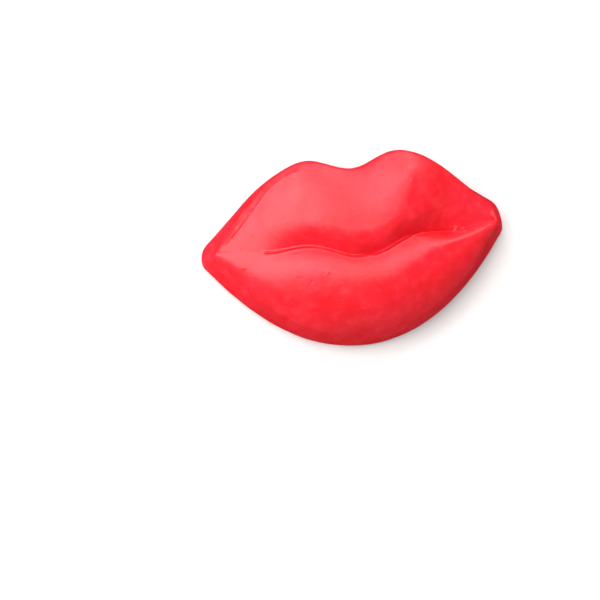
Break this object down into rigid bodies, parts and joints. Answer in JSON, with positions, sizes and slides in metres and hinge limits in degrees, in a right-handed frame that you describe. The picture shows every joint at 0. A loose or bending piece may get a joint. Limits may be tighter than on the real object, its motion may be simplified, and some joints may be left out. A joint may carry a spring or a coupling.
{
  "type": "novelty soap bar",
  "caption": "Red bar of soap cast in the shape of a pair of closed lips, with a moulded mouth line and a flat back.",
  "frame": {"origin": "middle of the bounding box of the flat back, with the bar lying on it", "axes": "+Z out of the back toward the front of the lips, +X from the left corner of the mouth to the right one as seen from the front, +Y toward the upper lip"},
  "size_m": [0.0968, 0.0588, 0.0274],
  "materials": {
    "soap": "satin, slightly waxy red soap"
  },
  "bodies": {
    "root": {"soap_bar": "soap"}
  },
  "joints": []
}
